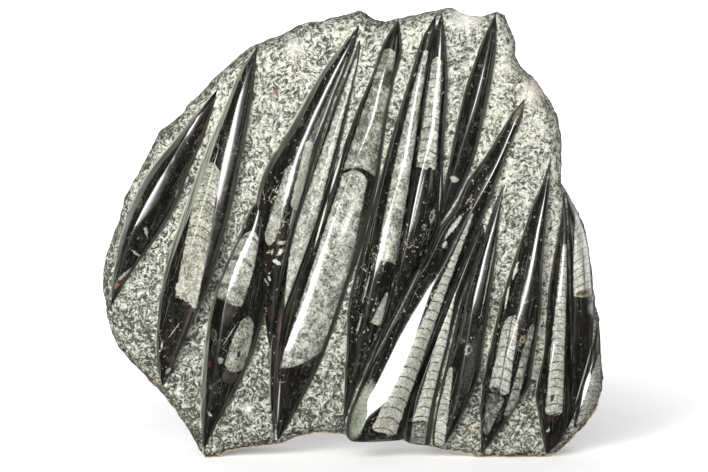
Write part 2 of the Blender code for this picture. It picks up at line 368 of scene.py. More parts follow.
# The polished limestone between the shells: black, clouded with brown, with flecks of calcite and
# curled slivers of broken shell in it.
def makeRockGroup():
    given, tree, out = newGroup("blackRock", dict(Float="brown grains"), dict(Color="colour"))
    where, grains = inPlace(tree), given["grains"]
    cloud = grain(where, 26.0, 5.0, 0.7)
    zones = grain(turned(where, (3.0, 0.0, 1.0)), 34.0, 3.0, 0.6)
    streaks = grain(turned(where, rotation=(0, 0.3, 0), scale=(1, 1, 0.2)), 210.0, 4.0, 0.65)
    colour = mixColour(ramp(streaks, 0.48, 0.72), (0.0028, 0.0028, 0.002, 1.0), (0.018, 0.0185, 0.013, 1.0))
    colour = mixColour(ramp(cloud, 0.5, 0.66) * given["brown"], colour, (0.016, 0.0105, 0.006, 1.0))
    dim = ramp(grain(where, 190.0, 4.0, 0.7), 0.53, 0.66) * ramp(zones, 0.4, 0.62, 0.15, 0.8)
    colour = mixColour(dim, colour, (0.038, 0.036, 0.028, 1.0))
    blots = ramp(grain(where, 250.0, 3.0, 0.6), grains * -0.035 + 0.655, 0.7)
    curl = abs(grain(where, 105.0, 2.0, 0.5) - 0.5)
    curls = ramp(curl, 0.006, 0.022, 0.9, 0.0) * ramp(zones, 0.56, 0.64)
    flecks = calc("MULTIPLY", calc("MAXIMUM", blots, curls), grains * 0.8, clamp=True) * ramp(cloud, 0.38, 0.6)
    feed(out["colour"], mixColour(flecks, colour, (0.36, 0.35, 0.29, 1.0)))
    return tree


shellGroup, fleckGroup, rockGroup = makeShellGroup(), makeFleckGroup(), makeRockGroup()
print("node groups made")


# What a shell and a fleck have unless their own entry says otherwise, in millimetres or as shares.
plainShell = dict(head=2.0, tail=16.0, swell=0.0, headCap=3.0, tailCap=2.0, slant=0.0, ragged=3.0, bend=0.0,
                  walls=0, fade=2.0, tilt=0.0, tube=0.0, mottle=0.75, pale=paleShell, shade=greyShell)
plainFleck = dict(wobble=2.0, soft=0.25, strength=0.9, tint=paleShell)


def shell(start, end, **facts):
    return {**plainShell, "start": start, "end": end, **facts}


def fleck(start, end, width, **facts):
    return {**plainFleck, "start": start, "end": end, "width": width, **facts}


# A highlight painted into the colour: a thin white line with a soft edge.
def paintedGlint(start, end, width, **facts):
    return fleck(start, end, width, tint=paintedHighlightWhite, wobble=0.15, soft=0.5, **facts)


def spindleMaterial(name, facts):
    material, tree, inputs = newMaterial(name + "Stone")
    where, flank, paintedFlankLight, dull = inPlace(tree), *(attribute(tree, kind) for kind in ("flank", "paintedFlankLight", "dull"))
    surface = addNode("ShaderNodeUVMap", tree=tree, uv_map="flow")
    colour = addNode("ShaderNodeGroup", tree=tree, node_tree=rockGroup)
    for key in ("brown", "grains"):
        colour.socket.node.inputs[key].default_value = facts[key]
    lines = grain(turned(surface, scale=(85.0, 1.6, 1.0)), 1.0, 3.0, 0.7)
    colour = mixColour(ramp(lines, 0.57, 0.7) * facts["hair"], colour, (0.1, 0.104, 0.088, 1.0))
    for mark in facts["shells"]:
        colour = addShell(where, colour, mark)
    for mark in facts["flecks"]:
        colour = addFleck(where, colour, mark)
    cloudy = ramp(grain(where, 380.0, 4.0, 0.75), 0.38, 0.62, 0.62, 1.15)
    grey = addNode("ShaderNodeCombineColor", {0: cloudy, 1: cloudy, 2: cloudy})
    colour = mixColour(1.0, colour, grey, "MULTIPLY")
    colour = mixColour(ramp(lines, 0.6, 0.75, 0.0, 0.16), colour, (0.12, 0.12, 0.105, 1.0))

    # The steep flanks were only ground: they stay grey and a little matt. Painted light makes the
    # left flanks, which face the lamps, paler.
    stretch = grain(turned(surface, scale=(10.0, 3.5, 1.0)), 1.0, 3.0, 0.6)
    flankColour = mixColour(ramp(lines, 0.4, 0.7), (0.006, 0.0065, 0.005, 1.0), (0.055, 0.058, 0.045, 1.0))
    flankColour = mixColour(paintedFlankLight * ramp(lines, 0.35, 0.62, 0.1, 1.0), flankColour, (0.24, 0.255, 0.2, 1.0))
    edgeLine = ramp(flank, 0.66, 0.86) * ramp(stretch, 0.38, 0.6, 0.15, 1.0)
    flankColour = mixColour(edgeLine, flankColour, (0.34, 0.36, 0.29, 1.0))
    flankShare = ramp(flank, 0.02, 0.12)
    colour = mixColour(flankShare, colour, flankColour)
    # Highlights painted as white lines go over the flanks and everything else.
    for mark in facts["streaks"]:
        colour = addFleck(where, colour, mark)
    scratches = grain(turned(surface, scale=(14.0, 0.12, 1.0)), 26.0, 3.0, 0.6)
    roughness = ramp(scratches, 0.3, 0.8, 0.09, 0.17) + calc("MAXIMUM", flankShare, dull) * 0.25
    finishSurface(inputs, colour, roughness, scratches, 0.01, 0.0006)
    inputs["IOR"].default_value = 1.54
    return material


# The spindles, each with its upper tip, its foot and the points its two edges run through, in
# millimetres on the sheet. "glare" is the line of the flat facet beside the crest: how far up, how
# far across and how wide. "flanks" are the widths of the ground flanks from the tip to the foot.
# "streaks" are highlights painted into the colour as thin white lines.
# The pale share given for the left flanks, from the tip to the foot, is painted light.
plainSpindle = dict(plump=0.42, sheen=0.3, flanks=(3.0, 3.5), paintedFlankLight=0.0, wave=0.1, brown=0.5, grains=0.5,
                    hair=0.5, shells=[], flecks=[], streaks=[])
spindles = dict(
    farLeft=dict(
        top=(120, 372), foot=(11, 154), flanks=((3, 7, 8, 6, 4), 4.0), paintedFlankLight=(0.5, 0.2, 0.1, 0.1, 0.2),
        left=[(80, 326), (50, 290), (32, 255), (21, 222), (14, 185)],
        right=[(115, 350), (105, 320), (90, 285), (78, 255), (62, 228), (40, 198), (22, 170)],
        glare=[(372, 119, 0), (363, 113, 2.2), (345, 101, 3), (330, 91, 2), (318, 84, 0), (300, 73, 0),
               (287, 66, 1.5), (270, 56, 2.5), (250, 45, 2.5), (232, 36, 1.5), (222, 31, 0), (154, 11, 0)],
        flecks=[fleck((78, 307), (74, 298), 2, strength=0.4), fleck((81, 275), (77, 264), 1.8, strength=0.3),
                fleck((48, 238), (50, 226), 3.5, strength=0.5, wobble=3.0),
                fleck((36, 196), (18, 181), 4.0, strength=0.6), fleck((34, 214), (44, 204), 3.0, strength=0.6),
                fleck((28, 190), (20, 174), 9, tint=rustStone, soft=0.7, strength=0.6),
                fleck((21, 180), (15, 174), 5, tint=ochreStone, strength=0.6)]),
    leftLong=dict(
        top=(159, 414), foot=(62, 71), sheen=0.5, flanks=((2, 5, 9, 9, 5, 4, 4), (3, 4, 4, 4, 4)),
        paintedFlankLight=(0.3, 0.7, 1.0, 0.8, 0.3, 0.2, 0.2),
        left=[(142, 390), (126, 354), (107, 312), (88, 262), (71, 212), (60, 165), (56, 120), (58, 92)],
        right=[(157, 385), (151, 340), (143, 300), (135, 260), (124, 220), (111, 178), (92, 135), (76, 100)],
        glare=[(414, 159, 0), (388, 150, 0), (372, 144, 1.2), (362, 141, 2), (340, 136.5, 4), (310, 130, 4.5),
               (285, 124.5, 4), (268, 121, 1.8), (255, 118, 0), (200, 107, 0), (150, 92, 0), (71, 62, 0)],
        shells=[shell((114, 300), (88, 163), head=19, tail=23, swell=2, headCap=8, tailCap=-2, slant=4,
                      ragged=14, walls=17, fade=0.5, pale=oliveShell, mottle=0.8)],
        # The first fleck is a highlight painted as a thin white line.
        flecks=[fleck((122, 318), (88, 198), 2.0, tint=paintedHighlightWhite, strength=0.5, wobble=0.1),
                fleck((84, 183), (80, 168), 10, tint=oliveShell),
                fleck((92, 158), (84, 132), 13, tint=brownStone, soft=0.9),
                fleck((82, 142), (69, 124), 1.2, strength=0.5, wobble=0.4),
                fleck((63, 121), (62, 113), 2.2, strength=0.7), fleck((62, 112), (56, 109), 2.2, strength=0.7),
                fleck((72, 95), (66, 88), 4, strength=0.4)]),
    lowerLeft=dict(
        top=(163, 268), foot=(103, 9), flanks=((2, 3, 3, 4, 6, 7, 4), (3, 4, 5, 6, 5)),
        paintedFlankLight=(0.2, 0.2, 0.2, 0.4, 0.6, 0.3, 0.3), sheen=0.35,
        left=[(150, 251), (138, 223), (120, 182), (109, 145), (104, 110), (101, 80), (100, 45)],
        right=[(167, 235), (168, 200), (167, 160), (160, 125), (149, 95), (134, 64), (116, 33)],
        glare=[(268, 163, 0), (262, 161, 0.8), (245, 158.5, 1.5), (232, 155, 2.5), (222, 149.5, 4.5),
               (205, 141, 4), (190, 135, 3), (176, 130.5, 1.2), (168, 127, 0), (9, 103, 0)],
        shells=[shell((155, 232), (128, 162), head=12, tail=30, swell=6, headCap=6, tailCap=2, walls=3,
                      mottle=0.9, pale=dimShell),
                shell((150, 148), (134, 92), head=12, tail=20, swell=3, headCap=7, tailCap=6, mottle=1.0,
                      pale=dimShell)],
        flecks=[fleck((146, 240), (142, 234), 6, strength=0.8),
                fleck((127, 170), (122, 125), 20, tint=blackStone, wobble=0.25),
                fleck((133, 162), (126, 138), 13, tint=(0.03, 0.024, 0.018, 1), soft=0.6),
                fleck((141, 115), (139, 107), 3.5, tint=blackStone),
                fleck((132, 97), (130, 80), 16, strength=0.15, wobble=1.0),
                fleck((132, 95), (130, 80), 15, tint=brownStone, wobble=1.0, strength=0.7),
                fleck((115, 136), (115, 122), 8, strength=0.15, wobble=0.8),
                fleck((114, 135), (114, 123), 7, tint=brownStone, wobble=0.8, strength=0.8),
                fleck((122, 109), (122, 101), 6, strength=0.35),
                fleck((111, 104), (110, 95), 4, tint=rustStone, strength=0.6),
                fleck((139, 143), (125, 121), 1.2, strength=0.4),
                fleck((108, 52), (112, 46), 3, strength=0.6)]),
    upperLeft=dict(
        top=(261, 438), foot=(170, 110), flanks=((3, 10, 9, 7, 4, 3, 3), (3, 4, 4, 4)),
        paintedFlankLight=(0.5, 0.35, 0.05, 0.1, 0.3, 0.2, 0.2), brown=0.9, grains=1.4,
        left=[(240, 412), (220, 386), (200, 352), (180, 317), (162, 286), (154, 245), (156, 200), (162, 150)],
        right=[(254, 408), (237, 366), (220, 315), (206, 268), (195, 232), (185, 190), (177, 145)],
        glare=[(438, 261, 0), (415, 249, 1.5), (380, 231, 2.5), (360, 221, 2.5), (315, 201, 2.5), (298, 196, 2),
               (280, 191, 2.5), (265, 186, 1.5), (252, 182, 0), (110, 170, 0)],
        shells=[shell((248, 404), (206, 306), head=2, tail=8, mottle=0.2, pale=(0.09, 0.09, 0.082, 1),
                      shade=(0.03, 0.03, 0.027, 1)),
                shell((211, 322), (195, 254), head=8, tail=10, slant=3, mottle=0.15, pale=dimShell),
                shell((193, 298), (169, 218), head=10, tail=13, headCap=6, tailCap=10, mottle=0.9,
                      pale=dimShell)],
        # The first fleck is a highlight painted as a thin white line.
        flecks=[fleck((247, 402), (213, 315), 2, tint=paintedHighlightWhite, wobble=0.1),
                fleck((196, 260), (190, 234), 2, strength=0.7),
                fleck((200, 258), (193, 234), 1.6, strength=0.7),
                fleck((188, 222), (178, 220), 4, strength=0.6), fleck((184, 216), (180, 209), 5),
                fleck((173, 204), (182, 199), 5, strength=0.9), fleck((169, 187), (171, 182), 3, strength=0.8),
                fleck((162, 188), (169, 178), 2, strength=0.6),
                fleck((172, 160), (168, 145), 6, tint=brownStone, soft=0.7),
                fleck((250, 402), (246, 350), 6, tint=rustStone, soft=0.7, strength=0.5)]),
    leftOfCentre=dict(
        top=(261, 425), foot=(174, 18), flanks=((2, 3), (2, 3, 4, 3, 3)), paintedFlankLight=(0.2, 0.5, 0.6, 0.3), hair=0.7,
        left=[(252, 402), (236, 362), (218, 310), (203, 262), (192, 228), (180, 180), (171, 130), (169, 90),
              (170, 50)],
        right=[(259, 400), (253, 370), (247, 342), (240, 312), (232, 280), (223, 248), (211, 215), (198, 180),
               (187, 150), (180, 115), (177, 70)],
        glare=[(425, 261, 0), (394, 255, 0.6), (360, 246, 1), (330, 236, 1), (301, 227, 1), (270, 218, 0.8),
               (247, 210, 0.6), (224, 202, 0), (160, 182, 0), (18, 174, 0)],
        shells=[shell((257, 402), (202, 224), head=3, tail=20, walls=24, fade=-0.2, mottle=0.9, pale=paleShell),
                shell((203, 226), (187, 152), head=18, tail=4, swell=4, walls=0, headCap=-2, ragged=6,
                      mottle=0.7)],
        flecks=[fleck((184, 158), (178, 122), 9, tint=(0.04, 0.02, 0.013, 1), soft=0.6, wobble=2.5)]),
    centreGiant=dict(
        top=(298, 441), foot=(177, 17), plump=(0.4, 0.36, 0.3, 0.28, 0.34, 0.4), sheen=0.2,
        flanks=((3, 3.5), (3, 5, 6, 6, 5)), hair=0.6,
        left=[(283, 418), (271, 385), (256, 350), (245, 320), (233, 288), (222, 255), (208, 215), (195, 180),
              (184, 145), (177, 110), (174, 70)],
        right=[(302, 410), (295, 380), (289, 350), (284, 315), (279, 280), (271, 245), (262, 210), (251, 180),
               (238, 142), (226, 108), (212, 78), (196, 48)],
        glare=[(441, 298, 0), (395, 286, 0), (382, 281, 1.5), (347, 274, 2.5), (330, 267.5, 1.4),
               (312, 260, 0.9), (298, 254, 0), (285, 249, 0), (275, 246, 0.5), (245, 234, 1), (232, 230, 2),
               (215, 225, 3.2), (200, 219.5, 4.4), (170, 210, 5.6), (140, 198.5, 6.2), (116, 189, 6.6),
               (100, 183, 7), (92, 181, 5), (86, 180, 0), (17, 177, 0)],
        # Three highlights painted as white lines along the crest.
        streaks=[paintedGlint((244, 314), (229, 265), 2.6), paintedGlint((229, 266), (214, 212), 2.2),
                 paintedGlint((181, 88), (177, 34), 1.6, strength=0.6)],
        shells=[shell((290, 411), (261, 294), head=12, tail=33, headCap=3, tailCap=-7, mottle=1.0,
                      pale=dimShell, shade=(0.08, 0.08, 0.06, 1)),
                shell((257, 292), (208, 103), head=24, tail=50, headCap=7, tailCap=8, slant=-22, mottle=1.0,
                      pale=(0.42, 0.43, 0.37, 1))],
        flecks=[fleck((290, 390), (284, 372), 13, tint=(0.02, 0.02, 0.017, 1)),
                fleck((298, 400), (283, 300), 5, tint=(0.03, 0.032, 0.024, 1), wobble=0.2),
                # Painted shade: two soft dark patches darken the lower shell towards its right side and its
                # foot.
                fleck((275, 290), (232, 96), 24, tint=(0.055, 0.06, 0.045, 1), soft=1.0, strength=0.9,
                      wobble=1.5),
                fleck((246, 134), (196, 94), 18, tint=(0.07, 0.075, 0.055, 1), soft=1.0, strength=0.7,
                      wobble=1.5),
                # A second, soft highlight painted as a pale patch.
                fleck((258, 272), (237, 214), 10, tint=(0.62, 0.63, 0.57, 1), soft=0.9, strength=0.9,
                      wobble=1.2),
                fleck((190, 70), (184, 52), 8, tint=brownStone, soft=0.6),
                fleck((176, 81), (187, 82), 0.9, strength=0.3)]),
    rightOfCentre=dict(
        top=(336, 446), foot=(243, 33), flanks=((3, 4, 4, 3), (3, 4)), grains=1.6, hair=0.8,
        left=[(321, 423), (311, 392), (301, 360), (292, 330), (282, 295), (273, 260), (264, 225), (255, 190),
              (248, 160), (246, 120), (244, 80)],
        right=[(332, 415), (327, 385), (321, 350), (317, 318), (313, 290), (309, 255), (304, 222), (299, 190),
               (292, 155), (276, 115), (256, 70)],
        glare=[(446, 336, 0), (400, 321, 0.6), (360, 314, 2), (325, 308, 3), (295, 303, 3), (280, 298, 0.8),
               (258, 290, 1), (235, 286, 4.5), (225, 284, 4.5), (198, 277, 3), (188, 273, 0), (33, 243, 0)],
        shells=[shell((325, 410), (286, 203), head=4, tail=19, swell=5, headCap=2, tailCap=-3, bend=1, walls=16,
                      fade=-0.3, ragged=7, mottle=1.0, pale=paleShell),
                shell((287, 172), (275, 139), head=3, tail=11, headCap=2, ragged=5, mottle=0.5)],
        # The first fleck is a soft highlight painted in white.
        flecks=[fleck((290, 228), (282, 195), 5, tint=paintedHighlightWhite, soft=0.5, strength=0.6),
                fleck((270, 190), (262, 160), 2, strength=0.5), fleck((262, 150), (256, 128), 2, strength=0.5),
                fleck((280, 130), (274, 122), 3, strength=0.5)]),
    topMiddle=dict(
        top=(341, 447), foot=(278, 100), flanks=((2, 3), (3, 4)), grains=1.2, hair=0.7,
        left=[(328, 415), (323, 385), (317, 350), (313, 318), (309, 290), (303, 255), (297, 222), (290, 185)],
        right=[(346, 405), (347, 370), (345, 335), (343, 300), (343, 265), (340, 236), (328, 205), (312, 176),
               (294, 140)],
        glare=[(447, 341, 0), (425, 339, 0.6), (400, 338, 2.5), (360, 334, 3), (322, 330, 3), (305, 324, 1),
               (285, 319, 1.5), (245, 311, 1.5), (205, 303, 1), (190, 298, 0), (100, 278, 0)],
        shells=[shell((336, 403), (325, 294), head=9, tail=20, headCap=4, ragged=14, walls=12)],
        flecks=[fleck((332, 254), (330, 240), 6, strength=0.6),
                fleck((331, 251), (330, 243), 3, tint=brownStone),
                # Two highlights painted as thin pale and white lines.
                fleck((324, 290), (312, 240), 1.6, strength=0.6),
                fleck((341, 300), (338, 250), 1.6, tint=paintedHighlightWhite, strength=0.7)]),
    topRight=dict(
        top=(394, 446), foot=(337, 236), flanks=((3, 4), (4, 6, 5, 4)), grains=0.4, hair=0.4,
        left=[(381, 422), (372, 398), (364, 375), (358, 352), (353, 328), (348, 302), (343, 277)],
        right=[(395, 415), (392, 385), (387, 357), (381, 330), (375, 305), (367, 284), (358, 265), (348, 249)],
        glare=[(446, 394, 0), (400, 383, 0.5), (385, 380, 1.4), (347, 370, 1.2), (330, 364, 0), (236, 337, 0)],
        flecks=[fleck((360, 290), (350, 268), 12, tint=(0.01, 0.01, 0.01, 1)),
                # A highlight painted as a thin white line.
                fleck((353, 312), (342, 268), 2.2, tint=paintedHighlightWhite, strength=0.8, wobble=0.1),
                fleck((355, 286), (351, 280), 9, strength=0.6)]),
    slimRinged=dict(
        top=(381, 238), foot=(318, 13), blunt=True, flanks=((2, 2.5), (3, 4, 6, 8, 8)), hair=0.6,
        left=[(372, 218), (360, 188), (349, 160), (339, 134), (328, 104), (316, 72), (306, 45), (304, 18)],
        right=[(384, 225), (374, 195), (363, 168), (355, 140), (348, 110), (341, 80), (336, 50), (331, 13)],
        glare=[(238, 381, 0), (188, 362, 0.8), (145, 346, 0.8), (105, 330, 0.6), (60, 314, 0), (13, 310, 0)],
        shells=[shell((357, 192), (322, 42), head=3, tail=19, bend=-1, walls=21, tailCap=-3, mottle=0.3),
                shell((322, 41), (319, 12), head=19, tail=20, walls=4, mottle=1.0, headCap=3, pale=greyShell)]),
    crossing=dict(
        top=(423, 363), foot=(275, 19), blunt=True, sheen=0.12, flanks=((3, 4, 4, 4, 3), (3, 4, 4, 4)),
        grains=1.2,
        left=[(408, 345), (394, 322), (381, 302), (365, 280), (353, 255), (337, 232), (324, 206), (310, 185),
              (297, 162), (283, 133), (269, 100), (256, 68), (247, 42), (246, 22)],
        right=[(421, 345), (416, 330), (408, 312), (400, 288), (388, 255), (374, 222), (362, 192), (350, 162),
               (341, 138), (331, 110), (320, 80), (310, 55), (303, 19)],
        glare=[(363, 423, 0), (340, 413, 1.5), (302, 397, 2), (270, 380, 1), (235, 360, 0), (200, 344, 0),
               (184, 333, 1), (172, 327, 4.5), (155, 319, 8.5), (135, 310, 13), (123, 305, 15.5),
               (110, 299, 16.5), (90, 290.5, 17.5), (74, 281.5, 18), (64, 276.5, 19), (57, 272, 12),
               (52, 268, 0), (19, 250, 0)],
        shells=[shell((371, 250), (283, 31), head=2, tail=26, walls=27, mottle=0.3),
                shell((374, 310), (369, 288), head=8, tail=10, headCap=3, walls=9, pale=pinkShell)],
        flecks=[fleck((423, 362), (408, 334), 9, tint=(0.15, 0.135, 0.085, 1), strength=0.75, soft=0.7,
                      wobble=2.5),
                fleck((353, 257), (330, 222), 3.5, strength=0.8),
                fleck((362, 250), (343, 223), 4.5, strength=0.8),
                fleck((346, 222), (341, 215), 4, strength=0.7),
                fleck((395, 338), (392, 332), 4, strength=0.5),
                # A highlight along the left edge, painted as a faint pale line.
                fleck((350, 254), (252, 60), 1.4, strength=0.35, wobble=0.2),
                fleck((274, 88), (250, 20), 17, tint=(0.25, 0.265, 0.21, 1), strength=0.95, soft=0.4,
                      wobble=0.8),
                fleck((262, 64), (250, 28), 11, tint=(0.09, 0.105, 0.08, 1), strength=0.7, soft=0.8,
                      wobble=4.0),
                fleck((272, 52), (261, 26), 7, tint=blackStone, strength=0.95, wobble=0.5),
                fleck((262, 22), (298, 20), 8, tint=(0.1, 0.11, 0.12, 1), strength=0.9, soft=0.5, wobble=0.4),
                fleck((262, 31), (288, 30), 6, tint=blackStone, wobble=0.8),
                fleck((264, 32), (277, 31), 4, tint=(0.045, 0.022, 0.022, 1), soft=0.6),
                fleck((294, 49), (277, 36), 14, tint=(0.22, 0.19, 0.13, 1), strength=0.6, soft=0.7)]),
    slate=dict(
        top=(403, 280), foot=(340, 10), sheen=0.5, flanks=((2, 3), (3, 4)), grains=0.9, hair=0.9,
        left=[(392, 255), (381, 220), (370, 190), (360, 160), (352, 125), (346, 100), (340, 72), (334, 42),
              (332, 16)],
        right=[(400, 260), (398, 235), (396, 210), (393, 185), (390, 160), (387, 135), (383, 110), (379, 85),
               (370, 60), (356, 32)],
        glare=[(280, 403, 0), (253, 397, 0.8), (235, 392, 1.5), (215, 386, 2.2), (200, 382, 2.8),
               (180, 378, 2.8), (160, 372, 1.5), (148, 370, 0), (60, 356, 0), (10, 340, 0)],
        shells=[shell((351, 96), (336, 14), head=4, tail=16, walls=17, mottle=0.5)],
        flecks=[fleck((369, 120), (366, 108), 8, strength=0.6),
                fleck((369, 117), (367, 111), 4, tint=blackStone),
                fleck((377, 140), (362, 60), 14, tint=(0.04, 0.04, 0.036, 1), soft=0.8),
                # A second highlight line painted in pale colour.
                fleck((398, 240), (380, 150), 1.6, strength=0.5)]),
    rightLong=dict(
        top=(449, 305), foot=(381, 4), sheen=0.4, flanks=((2, 3, 4, 3), (3, 4, 5, 4)), grains=1.3, hair=0.8,
        left=[(440, 278), (430, 255), (421, 228), (412, 202), (404, 175), (397, 150), (390, 120), (384, 90),
              (380, 60), (380, 30)],
        right=[(449, 280), (447, 255), (445, 230), (443, 205), (442, 180), (441, 150), (437, 120), (434, 98),
               (430, 75), (420, 58), (407, 38), (394, 20)],
        glare=[(305, 449, 0), (262, 442, 1.2), (245, 438, 2.8), (212, 432, 3.5), (180, 426, 3.5),
               (160, 421, 2.8), (146, 416, 1.2), (118, 408, 1), (104, 403, 0), (4, 381, 0)],
        shells=[shell((411, 148), (397, 70), head=13, tail=20, headCap=8, tailCap=4, ragged=6, walls=9,
                      tube=0.8,
                      mottle=0.5),
                shell((396, 70), (385, 28), head=17, tail=6, headCap=3, mottle=1.0, ragged=8, pale=greyShell,
                      shade=(0.03, 0.03, 0.02, 1)),
                shell((431, 140), (408, 46), head=6, tail=11, walls=10, pale=dimShell, mottle=1.0)],
        flecks=[fleck((399, 76), (392, 70), 16, tint=blackStone, soft=0.5),
                fleck((422, 130), (419, 121), 6, tint=(0.2, 0.17, 0.1, 1)),
                fleck((421, 127), (420, 124), 2.5, tint=blackStone),
                fleck((417, 202), (411, 182), 2.5, strength=0.9),
                fleck((408, 177), (404, 155), 2.5, strength=0.9),
                fleck((416, 195), (413, 189), 4, strength=0.5),
                # A highlight painted as a thin white line.
                fleck((444, 185), (435, 120), 1.8, tint=paintedHighlightWhite, strength=0.5)]),
    rightRinged=dict(
        top=(463, 270), foot=(447, 4), brown=1.0, flanks=((2, 3), (2, 3)), hair=0.7,
        left=[(460, 250), (456, 225), (451, 198), (447, 170), (445, 140), (443, 110), (438, 85), (435, 65),
              (438, 45), (442, 22)],
        right=[(466, 245), (467, 220), (469, 180), (471, 140), (472, 100), (473, 60), (468, 30), (458, 13)],
        glare=[(270, 463, 0), (225, 462.5, 0.5), (205, 461.5, 2), (170, 458, 4), (130, 454, 4), (110, 452.5, 2),
               (90, 448, 0), (4, 447, 0)],
        shells=[shell((463, 218), (453, 47), head=5, tail=18, swell=1, tailCap=4, walls=26, mottle=0.5)],
        flecks=[fleck((460, 48), (446, 46), 7, tint=(0.024, 0.013, 0.009, 1)),
                fleck((452, 70), (450, 62), 4, tint=brownStone),
                fleck((458, 30), (450, 14), 10, tint=brownStone, soft=0.7),
                fleck((464, 17), (458, 15), 3, strength=0.9), fleck((449, 34), (446, 30), 3, strength=0.7)]),
    rightEdge=dict(
        top=(466, 267), foot=(456, 12), flanks=((2, 3), (1.5, 2)), hair=0.9,
        left=[(467, 245), (468, 220), (470, 180), (471, 140), (472, 100), (471, 60), (464, 32)],
        right=[(477, 248), (486, 225), (491, 200), (494, 170), (496, 142), (494, 110), (487, 78), (478, 50),
               (468, 28)],
        glare=[(267, 466, 0), (255, 467, 0.6), (225, 471, 0.6), (180, 474, 0), (120, 474, 0), (12, 456, 0)],
        shells=[shell((479, 262), (485, 164), head=6, tail=24, swell=4, walls=14, tilt=-1.0, mottle=0.4,
                      pale=whiteShell, tube=0.5)],
        flecks=[fleck((474, 168), (497, 167), 9, tint=(0.24, 0.19, 0.12, 1), wobble=1.5),
                fleck((474, 168), (496, 168), 5, tint=brownStone, wobble=4.0, strength=0.7),
                # Two highlights painted as thin white lines.
                fleck((465, 258), (469, 224), 2, tint=paintedHighlightWhite),
                fleck((499, 132), (475, 52), 2, tint=paintedHighlightWhite, strength=0.8, wobble=0.1)]),
    corner=dict(
        top=(502, 136), foot=(474, 30), flanks=((1.5, 2), (1.5, 2)), hair=0.9,
        left=[(497, 122), (489, 95), (481, 65), (476, 44)],
        right=[(504, 115), (505, 90), (504, 68), (499, 50), (488, 37)],
        glare=[(136, 502, 0), (94, 494, 0), (86, 491, 4), (75, 487.5, 5.5), (62, 484, 4), (50, 481, 0),
               (30, 474, 0)],
        shells=[shell((505, 103), (484, 31), head=10, tail=16, swell=3, walls=18)],
        flecks=[fleck((472, 84), (469, 76), 6, tint=ochreStone),
                fleck((474, 50), (471, 40), 6, tint=ochreStone)]))


# How finely the spindles are divided, round half of each one and along it, and how far they reach
# down into the block. "stops" are the shares of the round that rise to the facet, make it, lead to
# the crest and fall away again. Grinding by hand left faint waves, and "flow" is a side of the UV map.
spindleMesh = dict(flankParts=4, domeParts=40, along=180, edgeSink=4.0, keelSink=9.0, flow=100.0,
                   stops=(0.0, 0.3, 0.45, 0.6, 1.0), waveAcross=14.0, waveDown=40.0, waveFrom=6.0)

# The flat facet beside the crest turns further to the left the further right it lies. The slopes
# beside it, "entry", "exit" and "creased", are shares of its own. Where it is not as wide as "narrow"
# it shrinks to a crease, and its line is smoothed over a number of steps.
facet = dict(turn=0.3, turnPerMetre=0.46, entry=1.1, exit=0.9, creased=0.2, foot=1.5, narrow=1.5, kept=0.4,
             step=2.0, lineBlur=17, widthBlur=7, slopeBlur=5, dulled=2.5, flankTop=0.16, roundness=1.7,
             rounds=12, gain=0.4, gentlest=0.15, steepest=0.9)


def changing(values, share):
    # A value that stays the same, or that changes evenly from the upper tip to the foot.
    values = np.atleast_1d(values)
    return np.interp(share, np.linspace(0.0, 1.0, len(values)), values)


def smoothed(values, count, mode="edge", **how):
    return np.convolve(np.pad(values, count // 2, mode=mode, **how), np.full(count, 1 / count), mode="valid")


def glareLine(facts, edgeLeft, edgeRight, width):
    # Where the flat facet begins and ends, as shares of the way from the left edge to the right, and
    # how far it has shrunk to a mere crease.
    points = np.array(sorted(facts["glare"]), dtype=float)
    up = np.arange(points[0, 0], points[-1, 0] + facet["step"], facet["step"])
    across, wide = (np.interp(up, points[:, 0], points[:, i]) for i in (1, 2))
    across = smoothed(across, facet["lineBlur"], "reflect", reflect_type="odd")
    wide = smoothed(wide, facet["widthBlur"])
    at = np.full(len(width), 0.5)
    reach = edgeRight - edgeLeft
    for _ in range(3):
        height = edgeLeft[:, 1] + reach[:, 1] * at
        at = (np.interp(height, up, across) - edgeLeft[:, 0]) / np.maximum(reach[:, 0], 1e-6)
        at = np.clip(at, 0.06, 0.85)
    wide = np.interp(height, up, wide)
    flat = np.maximum(wide - facet["narrow"], facet["kept"] * wide) / width
    start = np.clip(at - flat / 2.0, 0.05, 0.85)
    end = np.clip(start + flat, start + 0.01, 0.9)
    return start, end, np.clip(1.0 - wide / facet["narrow"], 0.0, 1.0)


def spindleRows(facts, share):
    # The rows from the left edge to the right, with the shares of the way across where the parts begin.
    left, right = (alongChain(edgeChain(facts, side), share) for side in ("left", "right"))
    width = np.maximum(np.hypot(*(right - left).T), 1e-6)
    knee, shoulder, crease = glareLine(facts, left, right, width)
    crest = shoulder + (1.0 - shoulder) * facts["sheen"]
    leftFlank, rightFlank = (np.minimum(np.minimum(changing(wide, share) / width, 0.25), room * 0.8)
                             for wide, room in zip(facts["flanks"], (knee, 1.0 - crest)))
    return dict(share=share, left=left, reach=right - left, width=width, knee=knee, shoulder=shoulder,
                crease=crease, crest=crest, leftFlank=leftFlank, rightFlank=rightFlank)


